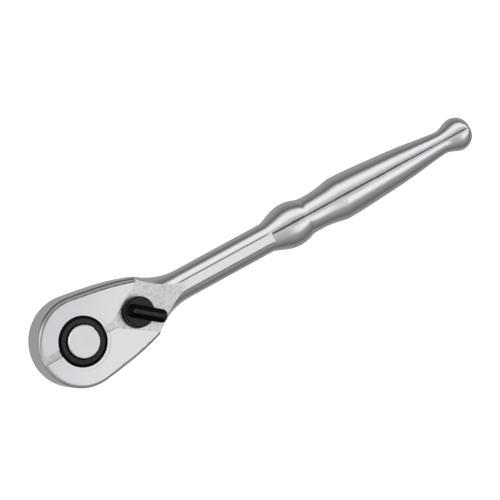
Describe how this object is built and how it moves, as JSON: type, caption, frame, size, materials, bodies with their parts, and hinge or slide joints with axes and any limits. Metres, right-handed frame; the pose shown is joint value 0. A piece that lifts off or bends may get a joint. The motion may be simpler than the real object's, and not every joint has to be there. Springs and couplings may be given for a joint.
{
  "type": "ratchet wrench",
  "caption": "Pear-head reversible ratchet wrench with a square drive, push-button ball release, thumb reversing lever and a turned all-steel handle.",
  "frame": {"origin": "centre of the square drive's tip face, on the drive axis", "axes": "+X along the handle from the drive axis towards the knob, +Z along the drive axis away from the socket, towards the button and lever"},
  "size_m": [0.1798, 0.0316, 0.0285],
  "materials": {
    "forged_steel": "bright chrome plate, blasted satin in the sunk channel of the head",
    "plate_steel": "satin ground, nickel plated",
    "screw_steel": "plain zinc",
    "black_oxide": "black oxide over fine machining",
    "button_steel": "satin chrome",
    "ball_steel": "polished bearing steel",
    "tool_steel": "hardened, ground",
    "spring_steel": "music wire",
    "seal_rubber": "nitrile",
    "lever_black": "satin black"
  },
  "bodies": {
    "housing": {"body": "forged_steel", "cover_plate": "plate_steel", "cover_screws": "screw_steel", "pawl_pivot_pin": "tool_steel"},
    "drive": {"drive_gear": "black_oxide", "gear_seal": "seal_rubber", "drag_washer": "spring_steel"},
    "button": {"release_button": "button_steel", "button_spring": "spring_steel"},
    "ball": {"detent_ball": "ball_steel"},
    "pawl": {"pawl": "tool_steel"},
    "lever": {"reversing_lever": "lever_black", "lever_seal": "seal_rubber", "lever_clip": "spring_steel", "plunger_spring": "spring_steel"},
    "plunger": {"lever_plunger": "tool_steel"}
  },
  "joints": [
    {"name": "drive_spin", "type": "hinge", "parent": "housing", "child": "drive", "pos_m": [0, 0, 0.0167], "axis": [0, 0, 1], "continuous": true},
    {"name": "lever_swing", "type": "hinge", "parent": "housing", "child": "lever", "pos_m": [0.0217, 0, 0.0177], "axis": [0, 0, 1], "range_deg": [0, 74]},
    {"name": "pawl_rock", "type": "hinge", "parent": "housing", "child": "pawl", "pos_m": [0.0134, 0, 0.0166], "axis": [0, 0, 1], "range_deg": [-10.1, 0.1]},
    {"name": "plunger_slide", "type": "slide", "parent": "lever", "child": "plunger", "axis": [0.7986, -0.6018, 0], "range_m": [0, 0.0012], "stiffness_N_per_m": 1500, "springref_m": -0.0008, "deforming": ["plunger_spring"]},
    {"name": "button_press", "type": "slide", "parent": "drive", "child": "button", "axis": [0, 0, -1], "range_m": [0, 0.002], "stiffness_N_per_m": 900, "springref_m": -0.0008, "deforming": ["button_spring"]},
    {"name": "ball_retract", "type": "slide", "parent": "drive", "child": "ball", "axis": [0, 1, 0], "range_m": [0, 0.00071]}
  ],
  "couplings": [
    {"joint": "pawl_rock", "follows": "lever_swing", "ratio": -0.13514},
    {"joint": "ball_retract", "follows": "button_press", "ratio": 0.35}
  ]
}
